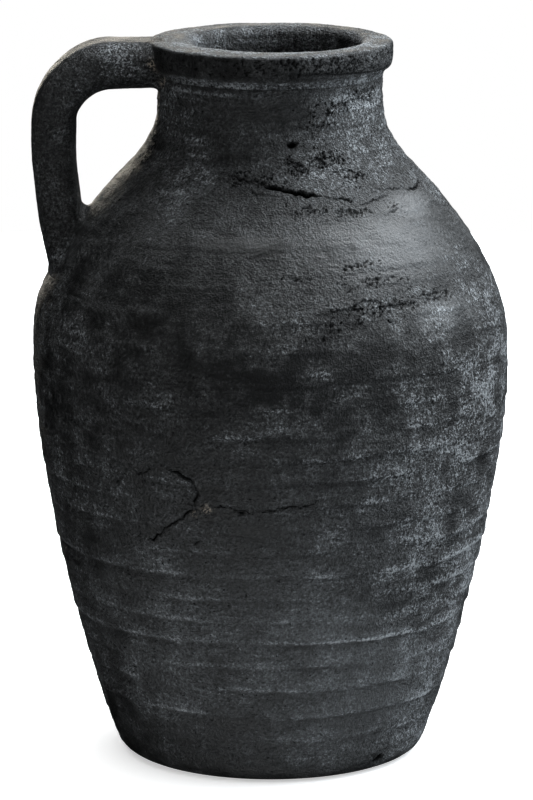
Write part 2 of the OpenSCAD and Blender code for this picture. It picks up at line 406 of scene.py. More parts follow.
def throwing_rings(x, y, z):
    """How far the throwing rings stand out, and how far their crests are worn."""
    heights = z[:, 0]
    drift = z + 1.6 * noise(x / 95, y / 95, z / 160, 11)
    rings, crest = np.zeros_like(x, float), np.zeros_like(x, float)
    for k, (height, rise, reach) in enumerate(RINGS):
        near = abs(heights - height) < 3 * reach + 5
        if near.any():
            nx, ny = x[near], y[near]
            fade = 0.55 + 0.9 * noise(nx / 50, ny / 50, k * 3.7, 40)
            fade += 0.3 * noise(nx / 14, ny / 14, k * 5.1, 41)
            fade = np.clip(fade, 0.0, 1.25)
            up = drift[near] + 1.2 * noise(nx / 34, ny / 34, k * 2.3, 42) - height
            over = smoothstep(up / 3.4 + 0.5)
            groove = 0.7 * (1 - over) * bump(up, 0.7 * reach)
            shape = over * np.exp(-np.maximum(up, 0) / reach) - groove
            rings[near] += rise * fade * shape
            crest[near] = np.maximum(crest[near], (0.2 + rise) * fade * bump(up - 0.8, 1.2))
    return rings, crest


def wall_relief(angles, heights, r):
    """Grids over the wall: how far it stands out, and the values that its material reads."""
    a, z = np.meshgrid(angles, heights)
    r = np.broadcast_to(np.asarray(r)[:, None], a.shape)
    x, y = r * np.sin(a), -r * np.cos(a)
    rings, crest = throwing_rings(x, y, z)
    smooth = np.clip(spread(BURNISHED, a, z), 0, 1)
    lumps = 0.55 * noise(x / 70, y / 70, z / 50, 3) + 0.34 * fractal(x / 24, y / 24, z / 17, 5)
    lumps += 0.22 * noise(x / 11, y / 11, z / 7, 6)
    rough = np.clip(0.45 + 1.1 * noise(x / 32, y / 32, z / 18, 8), 0.08, 1.2) * (1 - 0.8 * smooth)
    strokes = 0.13 * noise(x / 20, y / 20, z / 2.3, 14)
    grit = 0.20 * noise(x / 4.6, y / 4.6, z / 2.8, 17) + 0.10 * noise(x / 2.7, y / 2.7, z / 2.1, 18)
    relief = rings + lumps + rough * (strokes + grit)
    relief += UNDER_HANDLE * bump(z - 255, 15) * bump(signed(a + math.pi / 2), 0.5)
    torn, hollow = torn_skin(x, y, z, a)
    relief -= torn
    stamp_cracks(angles, heights, relief, hollow)
    chips = [(t, h, math.degrees(k / float(outer_r(h))), k * 0.8) for t, h, k in CHIPS]
    buff = spread(chips, a, z)
    calm = np.clip(spread(CALM, a, z, np.add), -1, 1)
    crest = crest * (1 + spread(RUBBED_AND_HIGHLIT, a, z)) * (1 - 0.55 * np.maximum(calm, 0))
    # Ash and soot spots, some of them painted light and shade
    dust_and_painted_light = spread(DUST_AND_PAINTED_LIGHT_SPOTS, a, z, np.add)
    values = {"hollow": hollow, "rise": rings, "crest": crest, "polish": smooth, "buff": buff}
    return relief, values | {"dust_and_painted_light": dust_and_painted_light, "calm": calm}


# ------------------------------------------------------------------ meshes

# The mesh's columns in degrees, its count of columns behind, and its rows: at most so many to a
# piece, and no closer together than this
FRONT_COLUMNS = (-80, 84, 0.31)
BACK_COLUMNS = 266
MOST_ROWS = 111
FINEST_ROW = 0.55


def column_angles():
    """Angles round the jar: close together on the side with most detail, wider behind."""
    front = np.radians(np.arange(*FRONT_COLUMNS))
    back = np.linspace(front[-1], front[0] + 2 * math.pi, BACK_COLUMNS + 2)[1:-1]
    return np.concatenate([front, back])


ANGLES = column_angles()


def spaced_heights(low, high):
    """Heights up the wall, evenly spaced along its surface."""
    fine = np.linspace(low, high, 2000)
    run = np.hypot(np.gradient(fine), np.gradient(outer_r(fine)))
    length = np.concatenate([[0], np.cumsum((run[1:] + run[:-1]) / 2)])
    n = min(MOST_ROWS, int(math.ceil(length[-1] / FINEST_ROW)))
    return np.interp(np.linspace(0, length[-1], n + 1), length, fine)


def ring(r, z):
    """One point to a column, at a radius and a height."""
    r, z = np.broadcast_to(r, ANGLES.shape), np.broadcast_to(z, ANGLES.shape)
    return np.stack([r * np.sin(ANGLES), -r * np.cos(ANGLES), z], 1)


def wall_surface(heights):
    """Points of the wall's outside on rows and columns, and the values that its material reads."""
    r = outer_r(heights)
    lean = np.gradient(outer_r(np.stack([heights - 0.5, heights + 0.5])), axis=0)[0]
    relief, values = wall_relief(ANGLES, heights, r)
    out = 1 / np.hypot(1, lean)
    radius = r[:, None] + relief * out[:, None]
    z = heights[:, None] - relief * (lean * out)[:, None]
    return np.stack([ring(a, b) for a, b in zip(radius, z)]), values


def off_middle(r, off):
    """The radius at each column of a circle of radius r whose middle is off the jar's by off."""
    return off * np.sin(ANGLES) + np.sqrt(r**2 - (off * np.cos(ANGLES)) ** 2)


def inner_ring(z):
    """One ring of the wall's inside, which drifts off the middle as it nears the mouth."""
    off = MOUTH_X * smoothstep((z - COLLAR_Z) / (RIM_Z - COLLAR_Z))
    base = outer_r(z) - thickness(z)
    x, y = base * np.sin(ANGLES), base * np.cos(ANGLES)
    wave = 0.6 * noise(x / 30, y / 30, z / 7, 61) + 0.5 * np.sin(z / 2.1)
    r = off_middle(base, off)
    fade = smoothstep((RIM_Z - z) / 12)
    return ring(r + wave * fade, z)


def joint_tip(z):
    """The ring at the bottom of the V joint below a height."""
    return ring(outer_r(z) - thickness(z) / 2, z - GROOVE_D)


def make_mesh(name, rings, values, closed, caps=(), sharp=()):
    """A mesh from rings of points. values maps an attribute's name to one number per point;
    closed joins the last ring to the first, caps are the rings that get an end face, and sharp
    lists the rings whose edges stay sharp."""
    count, cols = len(rings), len(rings[0])
    verts = np.concatenate(rings) * MM
    i = np.arange(count if closed else count - 1)[:, None]
    j = np.arange(cols)[None, :]
    a, b = i * cols + j, i * cols + (j + 1) % cols
    up = (i + 1) % count * cols
    faces = np.stack([a, b, up + (j + 1) % cols, up + j], -1).reshape(-1, 4).tolist()
    for cap in caps:
        row = list(range(cap * cols, cap * cols + cols))
        faces.append(row if cap else row[::-1])
    mesh = bpy.data.meshes.new(name)
    mesh.from_pydata(verts.tolist(), [], faces)
    mesh.polygons.foreach_set("use_smooth", np.ones(len(mesh.polygons), bool))
    for key, numbers in values.items():
        layer = mesh.attributes.new(key, "FLOAT", "POINT")
        layer.data.foreach_set("value", np.asarray(numbers, np.float32).ravel())
    if sharp:
        ends = np.empty(len(mesh.edges) * 2, np.int32)
        mesh.edges.foreach_get("vertices", ends)
        ends = ends.reshape(-1, 2) // cols
        flags = (ends[:, 0] == ends[:, 1]) & np.isin(ends[:, 0], sharp)
        layer = mesh.attributes.new("sharp_edge", "BOOLEAN", "EDGE")
        layer.data.foreach_set("value", flags)
    mesh.validate()
    mesh.update()
    piece = bpy.data.objects.new(name, mesh)
    bpy.context.scene.collection.objects.link(piece)
    return piece


def finish_piece(piece, node, material):
    """Gives a piece its material, hangs it under the jar's root body and hides the CAD node that it
    replaces.
    """
    piece.data.materials.append(material)
    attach(piece, "root")
    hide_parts(node)


def padded(values, before, after):
    """The values with blank rows before and after, for rings that have none."""
    start, end = np.zeros((before, len(ANGLES))), np.zeros((after, len(ANGLES)))
    return {key: np.concatenate([start, grid, end]) for key, grid in values.items()}


def band(name, low, high):
    """One wall band as a closed ring of clay, with its joint faces."""
    heights = spaced_heights(low, high)
    outside, values = wall_surface(heights)
    inside = [inner_ring(z) for z in np.linspace(high, low, min(11, int((high - low) / 6) + 2))]
    loop = list(outside) + [joint_tip(high)] + inside + [joint_tip(low)]
    values = padded(values, 0, len(loop) - len(outside))
    last = len(outside) - 1
    return make_mesh(name, loop, values, True, sharp=(0, last, last + 2, len(loop) - 2))


def floor_piece():
    """The floor disc: a flat underside, a worn edge and a flat top with a groove in it."""
    foot_r = foot[0][1]
    heights = FLOOR_Z * (1 - np.cos(np.linspace(0, math.pi / 2, 16))) ** 1.3
    outside, values = wall_surface(heights)
    fade = smoothstep(heights / 5)[:, None, None]
    smooth = np.stack([ring(outer_r(z), z) for z in heights])
    outside = smooth + (outside - smooth) * fade
    outside[..., 2] = np.maximum(outside[..., 2], 0)
    below = [ring(r, 0.0) for r in np.linspace(2, foot_r, 12)[:-1]]
    inner = float(outer_r(FLOOR_Z) - thickness(FLOOR_Z))
    above = [ring(r, FLOOR_Z) for r in np.linspace(inner, 2, 12)]
    loop = below + list(outside) + [joint_tip(FLOOR_Z)] + above
    values = padded(values, len(below), 1 + len(above))
    last = len(below) + len(outside) - 1
    return make_mesh("floor_disc_clay", loop, values, False, caps=(0, len(loop) - 1), sharp=(last,))


# The rim's section, from the crease under it, out, over the top and down the mouth: (radius, height
# below the top)
RIM_SECTION = [
    (62.0, 19.0), (62.2, 17.6), (62.9, 16.3), (64.7, 14.8), (66.2, 12.8), (67.0, 10.2), (67.2, 7.6),
    (67.2, 5.2), (67.2, 3.2), (67.0, 1.7), (66.3, 0.9), (65.0, 0.5), (61.0, 0.35), (56.0, 0.25),
    (52.5, 0.1), (49.6, 0.5), (47.4, 1.6), (46.0, 3.4), (45.5, 6.0), (45.5, 19.0),
]

# The groove round the rim's side: (angle, height)
RIM_GROOVE = [(-100, 389), (-40, 390.5), (0, 390.5), (64, 386), (85, 383), (130, 386), (180, 389)]

# The rim's pits: how many, where in degrees and millimetres, and their sizes. The first are all
# round, the others gather about one place on the side.
PITS_ROUND = (420, (388, 397), (0.5, 1.2))
PITS_GATHERED = (230, (389, 398), (0.6, 1.4))
GATHERED_AT, GATHERED_WIDE = 36, 28


def spline(points, step):
    """Points every step along a smooth curve through the given points."""
    points = np.asarray(points, float)
    at = np.concatenate([[0], np.cumsum(np.hypot(*np.diff(points, axis=0).T))])
    even = np.linspace(0, at[-1], int(at[-1] / step) + 1)
    return np.stack([smooth_curve(at, points[:, k])(even) for k in range(2)], 1)


def rim_dust_and_painted_light(r, x, y, side):
    """How pale one ring of the rim is: mottled on top and paler there than at the side, with painted
    light towards the right; at the side painted shade, lifted by painted light on the right.
    """
    right = np.cos(ANGLES - math.radians(60))
    mottle = 2.4 * noise(x / 9, y / 9, 0, 77) + 2.4
    lip = 2.4 * smoothstep((59 - r) / 5) * smoothstep(0.3 + np.cos(ANGLES - math.radians(10)))
    return (1 - side) * (mottle + 0.9 * right + lip) + side * (3.4 * right**3 - 3.4)


def rim_piece():
    """The rim: its section carried round, with the groove and the pits in its side."""
    section = spline(RIM_SECTION, 0.75)
    section[0] = (float(outer_r(RIM_Z)), HEIGHT - RIM_Z)
    radius, height, relief, hollow, dust_and_painted_light = [], [], [], [], []
    side_pits = rim_pits()
    across = np.degrees(signed(ANGLES))
    groove_z = np.interp(across, *zip(*RIM_GROOVE))
    kept = 0.15 + 0.85 * smoothstep((60 - abs(across - 55)) / 40)
    for k, (r, drop) in enumerate(section):
        z = HEIGHT - drop
        base = off_middle(r, MOUTH_X * smoothstep((59 - r) / 9))
        x, y = base * np.sin(ANGLES), -base * np.cos(ANGLES)
        ends = min(smoothstep(k / 4), smoothstep((len(section) - 1 - k) / 4))
        lump = 0.5 * noise(x / 22, y / 22, z / 14, 71) + 0.18 * fractal(x / 6, y / 6, z / 4, 73)
        lump += 0.10 * noise(x / 2.2, y / 2.2, z / 1.6, 75)
        side = smoothstep((r - 64) / 2) * smoothstep(drop - 0.6)
        groove = side * kept * bump(z - groove_z, 0.9)
        ledge = 0.45 * kept * side * smoothstep((groove_z - z) / 1.5)
        ledge = ledge * smoothstep((z - RIM_Z - 2) / 3)
        dent, pit = side_pits(across, z, side)
        radius.append(base)
        height.append(np.full(len(ANGLES), z))
        relief.append(ends * (lump - 1.1 * groove - ledge - dent))
        # Painted shade in the groove and in the pits of the rim's side
        hollow.append(np.maximum(0.7 * groove, 0.85 * pit) * ends)
        # Ash mottling, with painted light and shade round the rim
        dust_and_painted_light.append(rim_dust_and_painted_light(r, x, y, side))
    radius, height, relief = np.array(radius), np.array(height), np.array(relief)
    dr, dz = np.gradient(radius, axis=0), np.gradient(height, axis=0)
    size = np.hypot(dr, dz)
    radius, height = radius + relief * dz / size, height - relief * dr / size
    loop = [ring(a, b) for a, b in zip(radius, height)] + [joint_tip(RIM_Z)]
    values = padded({"hollow": hollow, "dust_and_painted_light": dust_and_painted_light}, 0, 1)
    return make_mesh("rim_coil_clay", loop, values, True, sharp=(0, len(loop) - 2))


def rim_pits():
    """A function that gives the pits' depth and their shade at an angle and height of the rim."""
    rng = np.random.default_rng(91)
    count, heights, sizes = PITS_ROUND
    pits = []
    for _ in range(count):
        pits.append((rng.uniform(-180, 180), rng.uniform(*heights), rng.uniform(*sizes)))
    count, heights, sizes = PITS_GATHERED
    for _ in range(count):
        angle = rng.normal() * GATHERED_WIDE + GATHERED_AT
        pits.append((angle, rng.uniform(*heights), rng.uniform(*sizes)))

    def at(across, z, side):
        dent, shade = np.zeros(len(across)), np.zeros(len(across))
        for angle, height, size in pits:
            if abs(z - height) < 2 * size:
                far = np.hypot((across - angle) * 1.17, (z - height) * 1.4) / size
                cut = side * (1 - smoothstep((far - 0.3) / 0.9))
                dent, shade = np.maximum(dent, cut * size * 0.5), np.maximum(shade, cut)
        return dent, shade

    return at


# ------------------------------------------------------------------ the handle

# The strap's middle line: its level height, the centres of its bend and of its leg, where it
# starts inside the rim, and how far its leg turns
STRAP_Z = STRAP_TOP - STRAP_T / 2
BEND_X = STRAP_REACH - STRAP_T / 2 - BEND_R
BEND_Z = STRAP_Z - BEND_R
LEG_X = BEND_X + BEND_R - LEG_R
STRAP_START = 50.0
LEG_TURN = math.radians(16)

# Where the strap's upper edge is scuffed pale
STRAP_SCUFF = (-83.0, -17.0, 391.0)


def strap_path(step=1.0):
    """The strap's middle line on the +X side: points (x, z) and the direction out of its outer
    face, from inside the rim, round the bend and down into the shoulder."""
    level = np.arange(STRAP_START, BEND_X, step)
    bend = np.arange(0, math.pi / 2, step / BEND_R)
    leg = np.arange(0, LEG_TURN, step / LEG_R)
    points = [(x, STRAP_Z, 0.0, 1.0) for x in level]
    for a in bend:
        across, up = math.sin(a), math.cos(a)
        points.append((BEND_X + BEND_R * across, BEND_Z + BEND_R * up, across, up))
    for a in leg:
        across, down = math.cos(a), math.sin(a)
        points.append((LEG_X + LEG_R * across, BEND_Z - LEG_R * down, across, -down))
    return np.array(points)


def strap_outline(n=112):
    """The strap's section, evenly spaced: (across its thickness, outwards positive; across its
    width)."""
    half_t, half_w = STRAP_T / 2 - STRAP_ROUND, STRAP_W / 2 - STRAP_ROUND
    centres = [(half_t, half_w), (-half_t, half_w), (-half_t, -half_w), (half_t, -half_w)]
    corners = []
    for quarter, (t, w) in enumerate(centres):
        for a in np.radians(np.linspace(90 * quarter, 90 * quarter + 90, 12)):
            corners.append((t + STRAP_ROUND * math.cos(a), w + STRAP_ROUND * math.sin(a)))
    corners = np.array(corners + corners[:1])
    at = np.concatenate([[0], np.cumsum(np.hypot(*np.diff(corners, axis=0).T))])
    even = np.linspace(0, at[-1], n + 1)[:-1]
    return np.stack([np.interp(even, at, corners[:, k]) for k in range(2)], 1)


def skin_r(z):
    """The jar's outer radius at a height, with the rim's roll."""
    section = np.array(RIM_SECTION[:13])
    rim = np.interp(z, HEIGHT - section[:, 1], section[:, 0])
    return np.where(z > RIM_Z, rim, outer_r(np.minimum(z, RIM_Z)))


def strap_points():
    """The strap's surface on a grid of rows along it and columns round it, on the -X side. It is
    fuller than its section before the bend on the outside, and in the bend on the inside."""
    path, outline = strap_path(), strap_outline()
    s = np.arange(len(path), dtype=float)[:, None]
    out, wide = outline[:, 0][None, :], outline[:, 1][None, :]
    x = path[:, 0][:, None] + out * path[:, 2][:, None]
    z = path[:, 1][:, None] + out * path[:, 3][:, None]
    bend_s = BEND_X - STRAP_START + BEND_R * math.pi / 4
    outward = smoothstep(out / STRAP_T + 0.6)
    raised = 1 - smoothstep((s - bend_s + 22) / 22)
    push = 1.9 * raised * outward + 1.8 * bump(s - bend_s, 32) * (1 - outward)
    lump = 0.55 * noise(x / 26, wide / 26, z / 26, 81) + 0.22 * fractal(x / 7, wide / 7, z / 7, 83)
    lump += 0.07 * noise(x / 1.8, wide / 1.8, z / 1.8, 85)
    size = np.hypot(out / STRAP_T * 2, wide / STRAP_W * 2)
    nx, nw = out / STRAP_T * 2 / size, wide / STRAP_W * 2 / size
    grow = push + lump
    x = x + grow * nx * path[:, 2][:, None]
    z = z + grow * nx * path[:, 3][:, None]
    y = wide + grow * nw - 0.6 * np.sin(s / 60)
    return np.stack([-x, np.broadcast_to(y, x.shape), z], -1)


STRAP = strap_points()


def sunk(points, depth):
    """Points that lie deeper than depth under the jar's skin, brought up to that depth."""
    r = np.hypot(points[..., 0], points[..., 1])
    limit = skin_r(points[..., 2]) - depth
    scale = np.where(r < limit, limit / np.maximum(r, 1e-6), 1.0)
    moved = points.copy()
    moved[..., 0] *= scale
    moved[..., 1] *= scale
    return moved


def strap_piece():
    """The strap between the rim and the shoulder, with its scuffed edge."""
    rows = sunk(STRAP, 2.5)
    scuff = bump(np.linalg.norm((rows - STRAP_SCUFF) * [0.7, 1, 1], axis=-1), 8.0)
    values = {"dust_and_painted_light": 2.0 * scuff - 0.6, "crest": 1.3 * scuff}
    return make_mesh("handle_strap_clay", list(rows), values, False, caps=(0, len(rows) - 1))


def crossing(line):
    """Where a line of points first crosses the jar's skin: the crossing's place along the line."""
    gap = np.hypot(line[:, 0], line[:, 1]) - skin_r(line[:, 2])
    k = int(np.nonzero(gap[:-1] * gap[1:] <= 0)[0][0])
    return k + gap[k] / (gap[k] - gap[k + 1])


def along(line, at):
    """The point at a place along a line of points."""
    k = np.arange(len(line))
    return np.array([np.interp(at, k, line[:, c]) for c in range(3)])


# Lumps of clay left in the corners, the upper ones buff: (place, radius)
UPPER_BLOBS = [((-56.0, -21.0, 377.0), 4.5), ((-63.5, -19.0, 388.5), 3.0)]
LOWER_BLOBS = [((-104.0, -16.0, 312.0), 5.0)]

# How many rows of the strap a wad may reach, and how many points its face has from strap to wall
WAD_ROWS = 90
WAD_FACE = 14


def wad_reach(upper, facing):
    """How far a wad reaches along the strap and over the wall. facing is 1 above the strap, 0
    beside it and -1 below it."""
    if upper:
        reach, smear = (6.0, 5.0) if facing < 0 else (4.0, 3.0)
        return 5.0 + (reach - 5.0) * abs(facing), 4.5 + (smear - 4.5) * abs(facing)
    over, under = max(facing, 0), max(-facing, 0)
    return 7.5 + 7.5 * over + 2.5 * under, 7.0 + 3.5 * over + 9.0 * under


def wad_curve(line, middle, upper):
    """One line of a wad's points: along its face from the strap to the wall, then two inside."""
    at = crossing(line)
    corner = along(line, at)
    away = corner - along(middle, at)
    turn = math.atan2(corner[0], -corner[1])
    around, up = away[0] * math.cos(turn) + away[1] * math.sin(turn), away[2]
    size = math.hypot(around, up)
    reach, smear = wad_reach(upper, up / size)
    wobble = float(noise(corner[0] / 9, corner[1] / 9, corner[2] / 9, 95))
    reach, smear = reach * (1 + 0.25 * wobble), smear * (1 - 0.3 * wobble)
    start = along(line, at + reach)
    z = min(corner[2] + smear * up / size, HEIGHT - 0.5)
    side = turn + smear * around / size / float(skin_r(corner[2]))
    r = float(skin_r(z)) - 0.3
    end = np.array([r * math.sin(side), -r * math.cos(side), z])
    t = np.linspace(0, 1, WAD_FACE)[:, None]
    face = (1 - t) ** 2 * start + 2 * t * (1 - t) * corner + t**2 * end
    return np.concatenate([face, [end * [0.96, 0.96, 1], along(line, max(at - 2.5, 0))]])


def wad_piece(name, upper):
    """Clay smeared into the corner between the strap and the wall, all round the strap."""
    rows = (STRAP if upper else STRAP[::-1])[:WAD_ROWS]
    middle = rows.mean(1)
    curves = np.array([wad_curve(rows[:, k], middle, upper) for k in range(rows.shape[1])])
    x, y, z = curves[..., 0], curves[..., 1], curves[..., 2]
    lump = 0.5 * fractal(x / 8, y / 8, z / 8, 97) + 0.15 * noise(x / 2, y / 2, z / 2, 99)
    crumbs = np.zeros(x.shape)
    for place, size in UPPER_BLOBS if upper else LOWER_BLOBS:
        near = bump(np.linalg.norm(curves - place, axis=-1), size)
        lump = lump + near * (1.0 + 1.4 * noise(x / 2.2, y / 2.2, z / 2.2, 101))
        crumbs = np.maximum(crumbs, near)
    outward = curves - curves[:, -1:, :]
    outward /= np.maximum(np.linalg.norm(outward, axis=-1), 0.1)[..., None]
    weight = np.zeros(curves.shape[1])
    weight[:WAD_FACE] = np.sin(np.linspace(0, math.pi, WAD_FACE)) ** 0.7
    curves = curves + outward * (lump * weight)[..., None]
    values = {"buff": 1.4 * crumbs.T} if upper else {}
    return make_mesh(name, list(curves.transpose(1, 0, 2)), values, True)


# ------------------------------------------------------------------ materials


class Nodes:
    """Short ways to add shader nodes to a material or world."""

    def __init__(self, tree):
        self.tree = tree
        tree.nodes.clear()

    def add(self, kind, **inputs):
        node = self.tree.nodes.new(kind)
        for key, value in inputs.items():
            self.put(node, key.replace("_", " ").title(), value)
        return node

    def give(self, socket, value):
        """Links a socket's value to a socket, or sets a plain one."""
        if isinstance(value, bpy.types.NodeSocket):
            self.tree.links.new(value, socket)
        else:
            socket.default_value = value

    def put(self, node, key, value):
        self.give(node.inputs[key], value)

    def join(self, kind, a, b):
        """A node of a kind that takes two shaders."""
        node = self.tree.nodes.new(kind)
        self.give(node.inputs[-2], a)
        self.give(node.inputs[-1], b)
        return node

    def stretched(self, point, x, y, z):
        node = self.tree.nodes.new("ShaderNodeMapping")
        self.put(node, "Vector", point)
        node.inputs["Scale"].default_value = (x, y, z)
        return node.outputs["Vector"]

    def noise(self, point, scale, detail=3.0, roughness=0.55):
        node = self.add("ShaderNodeTexNoise", scale=scale, detail=detail, roughness=roughness)
        self.put(node, "Vector", point)
        return node.outputs["Fac"]

    def ramp(self, value, low, high, out_low=0.0, out_high=1.0):
        node = self.tree.nodes.new("ShaderNodeMapRange")
        node.interpolation_type = "SMOOTHSTEP"
        ends = {"From Min": low, "From Max": high, "To Min": out_low, "To Max": out_high}
        for key, number in ends.items():
            node.inputs[key].default_value = number
        self.put(node, "Value", value)
        return node.outputs["Result"]

    def math(self, kind, a, b):
        node = self.tree.nodes.new("ShaderNodeMath")
        node.operation = kind
        self.give(node.inputs[0], a)
        self.give(node.inputs[1], b)
        return node.outputs["Value"]

    def mix(self, factor, a, b):
        node = self.tree.nodes.new("ShaderNodeMix")
        node.data_type = "RGBA"
        for place, value in [(0, factor), (6, a), (7, b)]:
            self.give(node.inputs[place], value)
        return node.outputs[2]

    def tones(self, value, stops):
        """A colour ramp with the given (place, colour) stops."""
        node = self.tree.nodes.new("ShaderNodeValToRGB")
        elements = node.color_ramp.elements
        for k, (place, colour) in enumerate(stops):
            element = elements[k] if k < 2 else elements.new(place)
            element.position, element.color = place, colour
        self.put(node, "Fac", value)
        return node.outputs["Color"]

    def attribute(self, name):
        node = self.tree.nodes.new("ShaderNodeAttribute")
        node.attribute_name = name
        return node.outputs["Fac"]


# Tones of clay from black to pale, the painted shade of a pit or crack, and the clay inside a chip
SOOT = (0.0030, 0.0031, 0.0031, 1)
CHARCOAL = (0.0105, 0.0113, 0.0117, 1)
SMOKE = (0.0350, 0.0370, 0.0382, 1)
DUST = (0.1060, 0.1145, 0.1210, 1)
ASH = (0.392, 0.416, 0.434, 1)
TONES = [(0.0, SOOT), (0.28, CHARCOAL), (0.50, SMOKE), (0.72, DUST), (1.0, ASH)]
PAINTED_PIT_SHADE = (0.002, 0.002, 0.002, 1)
BUFF = (0.44, 0.37, 0.29, 1)


def total(n, *terms):
    """The sum of weight * (noise - 0.5) over (noise, weight) pairs."""
    result = 0.0
    for value, weight in terms:
        result = n.math("ADD", result, n.math("MULTIPLY", n.math("SUBTRACT", value, 0.5), weight))
    return result


def clay(name, pale=0.39, contrast=1.0):
    """Smoke-black clay in brushed clouds of soot and ash, paler where its rough skin and its crests
    are ashy, blackened with painted shade in its pits and cracks, darker in its ring grooves as bare
    clay and painted shade, and with the painted light and shade that the wall's spots carry. pale is
    the usual place among the tones, and contrast how far the clouds stand out."""
    material = bpy.data.materials.new(name)
    material.use_nodes = True
    n = Nodes(material.node_tree)
    here = n.add("ShaderNodeTexCoord").outputs["Object"]
    clouds = n.noise(here, 16, 3, 0.55)
    patches = n.noise(here, 62, 6, 0.66)
    strokes = n.noise(n.stretched(here, 50, 50, 300), 1.0, 4, 0.62)
    crust = n.noise(here, 560, 3, 0.72)
    grains = n.noise(here, 1000, 2, 0.6)
    pores = n.noise(n.stretched(here, 420, 420, 640), 1.0, 2, 0.5)
    polish = n.attribute("polish")

    harsh = n.ramp(n.attribute("calm"), -1.0, 1.0, 1.6, 0.4)
    brushed = [(clouds, 1.1), (patches, 1.45), (strokes, 0.85)]
    ash_and_painted_light = total(n, *((value, weight * contrast) for value, weight in brushed))
    ash_and_painted_light = n.math("MULTIPLY", harsh, ash_and_painted_light)
    # Ring rises paler and the grooves under them darker: partly bare clay, partly painted shade
    ash_and_painted_light = n.math("ADD", ash_and_painted_light, n.math("MULTIPLY", n.attribute("rise"), 0.13))
    # Ash, bare soot, and painted light and shade from the spots on the wall and the rim
    ash_and_painted_light = n.math("ADD", ash_and_painted_light, n.math("MULTIPLY", n.attribute("dust_and_painted_light"), 0.09))
    grainy = n.ramp(ash_and_painted_light, -0.25, 0.35, 0.5, 1.5)
    grainy = n.math("MULTIPLY", grainy, n.ramp(polish, 0.0, 1.0, 1.0, 0.6))
    specks = n.math("MULTIPLY", harsh, total(n, (crust, 1.8), (grains, 1.2)))
    worn = n.ramp(n.math("ADD", ash_and_painted_light, specks), 0.0, 0.75, 0.0, 0.75)
    worn = n.math("MULTIPLY", n.attribute("crest"), worn)
    hair = n.noise(here, 150, 2, 0.5)
    scratches = n.ramp(n.math("ABSOLUTE", n.math("SUBTRACT", hair, 0.5), 0.0), 0.013, 0.003)
    broken = n.ramp(total(n, (crust, 1.0), (patches, 1.0)), 0.0, 0.16, 0.0, 0.22)
    scratches = n.math("MULTIPLY", scratches, broken)
    tone = n.math("ADD", n.math("MULTIPLY", grainy, specks), ash_and_painted_light)
    tone = n.math("ADD", n.math("ADD", tone, n.math("MAXIMUM", worn, scratches)), pale)
    tone = n.ramp(tone, -0.26, 1.41)
    colour = n.tones(tone, TONES)
    crumbs = n.ramp(total(n, (crust, 1.0), (grains, 0.6)), -0.04, 0.12)
    colour = n.mix(n.math("MULTIPLY", crumbs, n.attribute("buff")), colour, BUFF)
    # Small pores, sunk by the bump; they and the pits, cracks and grooves get painted shade
    pits = n.ramp(n.math("SUBTRACT", pores, n.math("MULTIPLY", grainy, 0.03)), 0.29, 0.24)
    hollow = n.math("MAXIMUM", n.attribute("hollow"), n.math("MULTIPLY", pits, 0.8))
    colour = n.mix(hollow, colour, PAINTED_PIT_SHADE)

    rough = n.ramp(tone, 0.1, 0.8, 0.42, 0.62)
    rough = n.math("ADD", rough, total(n, (patches, 0.3), (strokes, 0.3)))
    rough = n.math("ADD", rough, n.math("MULTIPLY", polish, -0.04))

    rugged = n.math("MULTIPLY", specks, n.ramp(grainy, 0.45, 1.35, 0.35, 1.1))
    rugged = n.math("ADD", rugged, total(n, (strokes, 0.25), (patches, 0.5)))
    rugged = n.math("SUBTRACT", rugged, n.math("MULTIPLY", pits, 0.25))
    softened = n.ramp(polish, 0.0, 1.0, 1.0, 0.45)
    bumps = n.add("ShaderNodeBump", strength=softened, distance=0.0024, height=rugged)

    shine = n.math("ADD", n.ramp(tone, 0.0, 0.6, 0.14, 0.62), n.math("MULTIPLY", polish, 0.22))
    shine = n.math("MULTIPLY", shine, n.ramp(hollow, 0.0, 1.0, 1.0, 0.1))

    shader = n.add("ShaderNodeBsdfPrincipled", base_color=colour, roughness=rough)
    n.put(shader, "Specular IOR Level", shine)
    n.put(shader, "Normal", bumps.outputs["Normal"])
    n.add("ShaderNodeOutputMaterial", surface=shader.outputs["BSDF"])
    return material


# ------------------------------------------------------------------ floor, light and camera

# The floor's radius, in metres
FLOOR_R = 1.6


def make_floor():
    """A white disc that glows a little, so that only the foot's own shadow shows on it. The jar
    isn't lit by it."""
    turn = np.linspace(0, 2 * math.pi, 96, endpoint=False)
    rim = [(FLOOR_R * math.cos(a), FLOOR_R * math.sin(a), 0) for a in turn]
    mesh = bpy.data.meshes.new("floor")
    mesh.from_pydata(rim, [], [tuple(range(len(rim)))])
    floor = bpy.data.objects.new("floor", mesh)
    bpy.context.scene.collection.objects.link(floor)
    material = bpy.data.materials.new("floor_white")
    material.use_nodes = True
    n = Nodes(material.node_tree)
    glow = n.add("ShaderNodeEmission", color=(1, 1, 1, 1), strength=0.5)
    paint = n.add("ShaderNodeBsdfDiffuse", color=(0.9, 0.9, 0.9, 1))
    both = n.join("ShaderNodeAddShader", glow.outputs["Emission"], paint.outputs["BSDF"])
    n.add("ShaderNodeOutputMaterial", surface=both.outputs["Shader"])
    mesh.materials.append(material)
    floor.visible_diffuse = False
    floor.visible_glossy = False
    return floor


# Soft patches of light all round: (angle round from the front, height in degrees, strength). The
# warm one, behind and a little to the left, only grazes the left edge.
COLD_SKY = [(150, 55, 3.0), (0, 88, 2.5), (0, -45, 3.0), (-60, -30, 1.3)]
BLUE_SKY = [(110, 35, 5.0), (95, -5, 1.5), (60, -35, 1.6)]
WARM_SKY = [(-173, 3, 6.0)]

